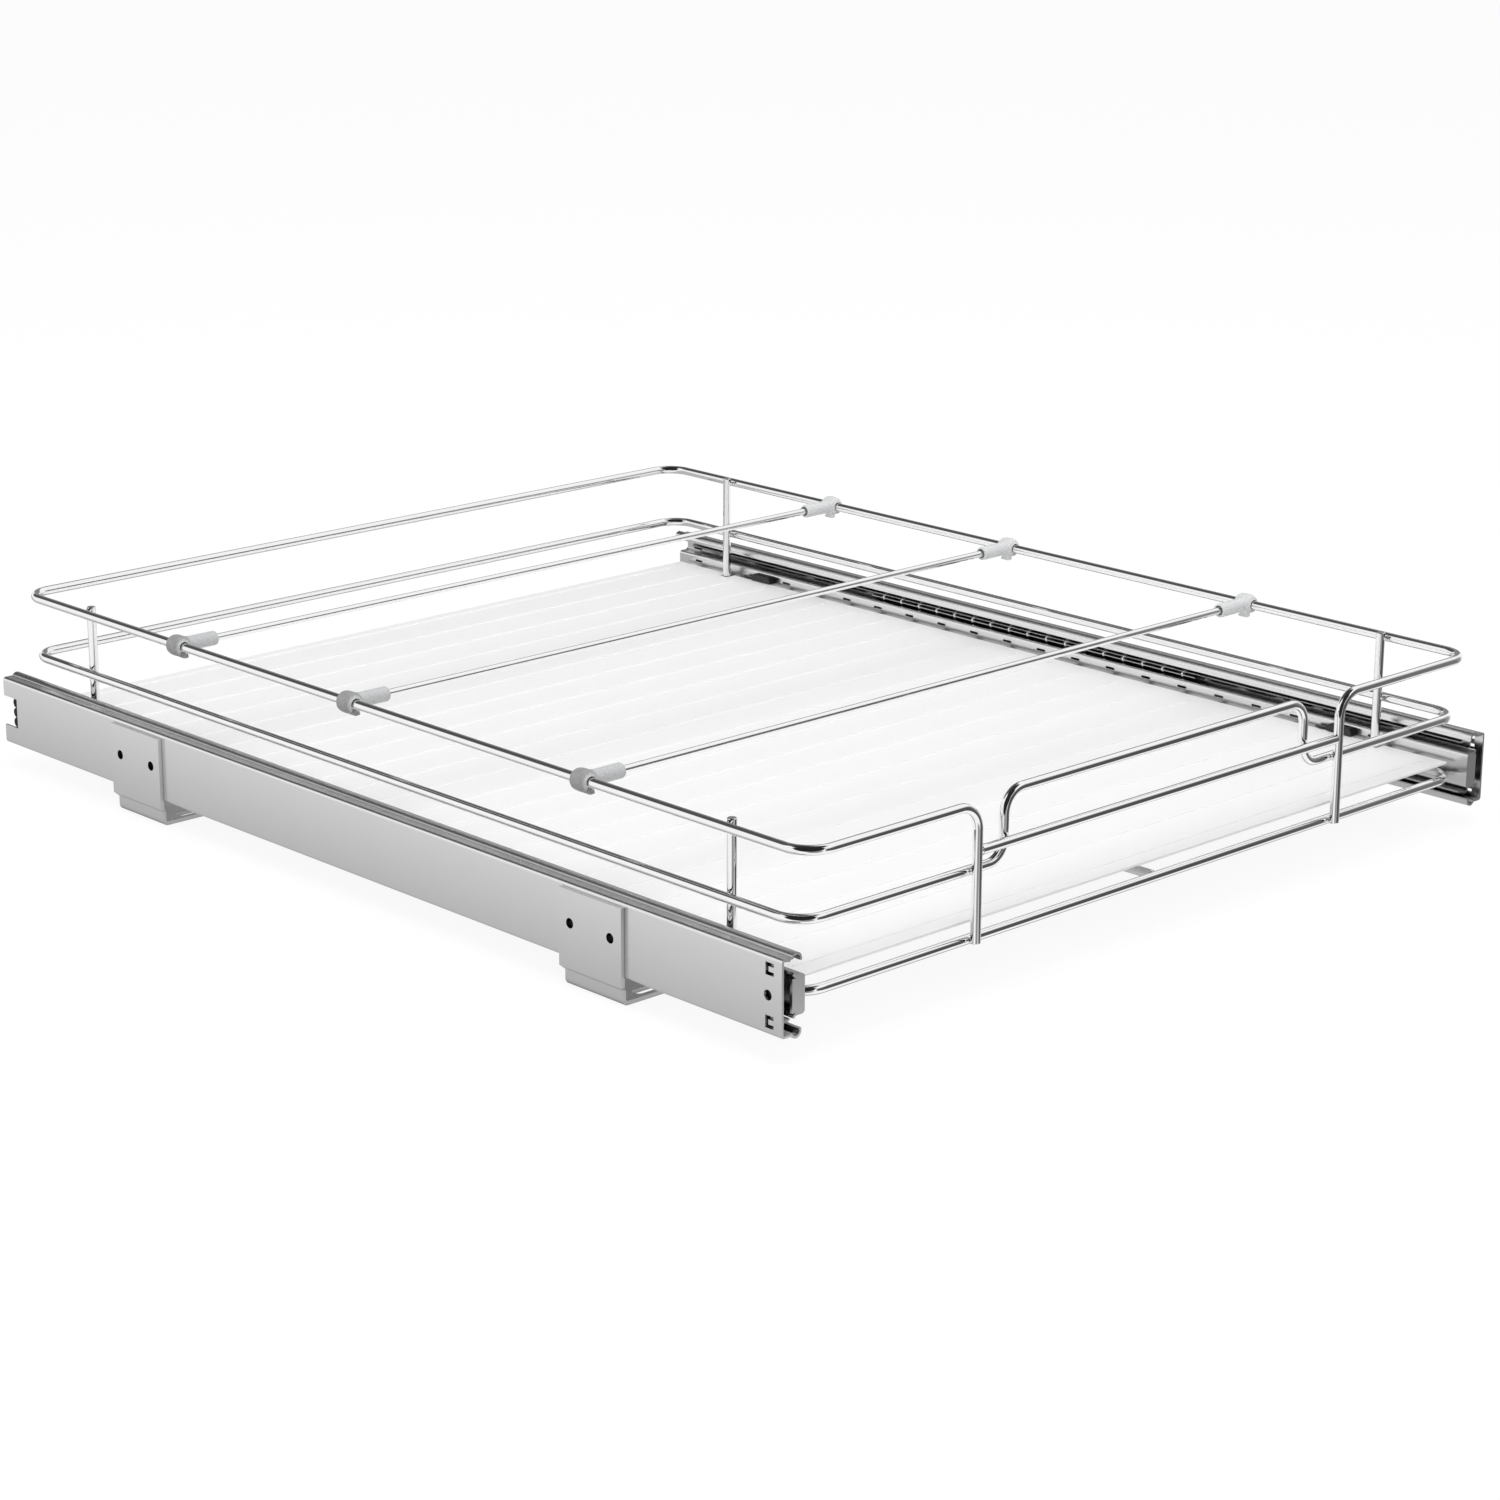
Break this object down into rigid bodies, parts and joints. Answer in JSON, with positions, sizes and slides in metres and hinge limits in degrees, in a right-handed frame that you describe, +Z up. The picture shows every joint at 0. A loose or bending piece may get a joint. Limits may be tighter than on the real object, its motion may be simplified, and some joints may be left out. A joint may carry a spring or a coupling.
{
  "type": "pull-out cabinet organizer",
  "caption": "Shallow chromed wire basket with a ribbed liner and sliding dividers, which pulls out of a cabinet on two ball-bearing slides with floor brackets.",
  "frame": {"origin": "centre of the footprint, on the cabinet floor under the bracket feet", "axes": "+X to the right seen from the front, +Y into the cabinet, +Z up; the basket pulls out along -Y"},
  "size_m": [0.468, 0.5624, 0.0911],
  "materials": {
    "zinc_plated_steel": "zinc plated, satin",
    "cage_steel": "bright pressed strip",
    "ball_steel": "polished balls",
    "chromed_wire": "bright chrome plate",
    "liner_plastic": "translucent, ribbed",
    "grey_nylon": "moulded, satin",
    "black_nylon": "moulded, satin",
    "stop_rubber": "matt"
  },
  "bodies": {
    "cabinet_side": {"left_outer_member": "zinc_plated_steel", "left_rear_stop": "stop_rubber", "left_front_bracket": "zinc_plated_steel", "left_rear_bracket": "zinc_plated_steel", "right_outer_member": "zinc_plated_steel", "right_rear_stop": "stop_rubber", "right_front_bracket": "zinc_plated_steel", "right_rear_bracket": "zinc_plated_steel"},
    "basket": {"left_inner_member": "zinc_plated_steel", "right_inner_member": "zinc_plated_steel", "bottom_frame": "chromed_wire", "mid_rail": "chromed_wire", "top_rail": "chromed_wire", "front_bar": "chromed_wire", "centre_stringer": "chromed_wire", "cross_wires": "chromed_wire", "liner": "liner_plastic", "left_front_upright": "chromed_wire", "left_front_basket_clip": "black_nylon", "left_rear_upright": "chromed_wire", "left_rear_basket_clip": "black_nylon", "right_front_upright": "chromed_wire", "right_front_basket_clip": "black_nylon", "right_rear_upright": "chromed_wire", "right_rear_basket_clip": "black_nylon"},
    "left_middle": {"left_middle_member": "zinc_plated_steel"},
    "left_outer_cage": {"left_outer_ball_cage": "cage_steel", "left_outer_balls": "ball_steel"},
    "left_inner_cage": {"left_inner_ball_cage": "cage_steel", "left_inner_balls": "ball_steel"},
    "right_middle": {"right_middle_member": "zinc_plated_steel"},
    "right_outer_cage": {"right_outer_ball_cage": "cage_steel", "right_outer_balls": "ball_steel"},
    "right_inner_cage": {"right_inner_ball_cage": "cage_steel", "right_inner_balls": "ball_steel"},
    "front_divider": {"front_divider_wire": "chromed_wire", "left_front_divider_clip": "grey_nylon", "right_front_divider_clip": "grey_nylon"},
    "middle_divider": {"middle_divider_wire": "chromed_wire", "left_middle_divider_clip": "grey_nylon", "right_middle_divider_clip": "grey_nylon"},
    "rear_divider": {"rear_divider_wire": "chromed_wire", "left_rear_divider_clip": "grey_nylon", "right_rear_divider_clip": "grey_nylon"}
  },
  "joints": [
    {"name": "basket_slide", "type": "slide", "parent": "cabinet_side", "child": "basket", "axis": [0, -1, 0], "range_m": [0, 0.54]},
    {"name": "left_middle_slide", "type": "slide", "parent": "cabinet_side", "child": "left_middle", "axis": [0, -1, 0], "range_m": [0, 0.27]},
    {"name": "left_outer_cage_slide", "type": "slide", "parent": "cabinet_side", "child": "left_outer_cage", "axis": [0, -1, 0], "range_m": [0, 0.135]},
    {"name": "left_inner_cage_slide", "type": "slide", "parent": "cabinet_side", "child": "left_inner_cage", "axis": [0, -1, 0], "range_m": [0, 0.405]},
    {"name": "right_middle_slide", "type": "slide", "parent": "cabinet_side", "child": "right_middle", "axis": [0, -1, 0], "range_m": [0, 0.27]},
    {"name": "right_outer_cage_slide", "type": "slide", "parent": "cabinet_side", "child": "right_outer_cage", "axis": [0, -1, 0], "range_m": [0, 0.135]},
    {"name": "right_inner_cage_slide", "type": "slide", "parent": "cabinet_side", "child": "right_inner_cage", "axis": [0, -1, 0], "range_m": [0, 0.405]},
    {"name": "front_divider_slide", "type": "slide", "parent": "basket", "child": "front_divider", "axis": [0, 1, 0], "range_m": [-0.075, 0.07]},
    {"name": "middle_divider_slide", "type": "slide", "parent": "basket", "child": "middle_divider", "axis": [0, 1, 0], "range_m": [-0.07, 0.055]},
    {"name": "rear_divider_slide", "type": "slide", "parent": "basket", "child": "rear_divider", "axis": [0, 1, 0], "range_m": [-0.055, 0.07]}
  ],
  "couplings": [
    {"joint": "left_middle_slide", "follows": "basket_slide", "ratio": 0.5},
    {"joint": "left_outer_cage_slide", "follows": "basket_slide", "ratio": 0.25},
    {"joint": "left_inner_cage_slide", "follows": "basket_slide", "ratio": 0.75},
    {"joint": "right_middle_slide", "follows": "basket_slide", "ratio": 0.5},
    {"joint": "right_outer_cage_slide", "follows": "basket_slide", "ratio": 0.25},
    {"joint": "right_inner_cage_slide", "follows": "basket_slide", "ratio": 0.75}
  ]
}
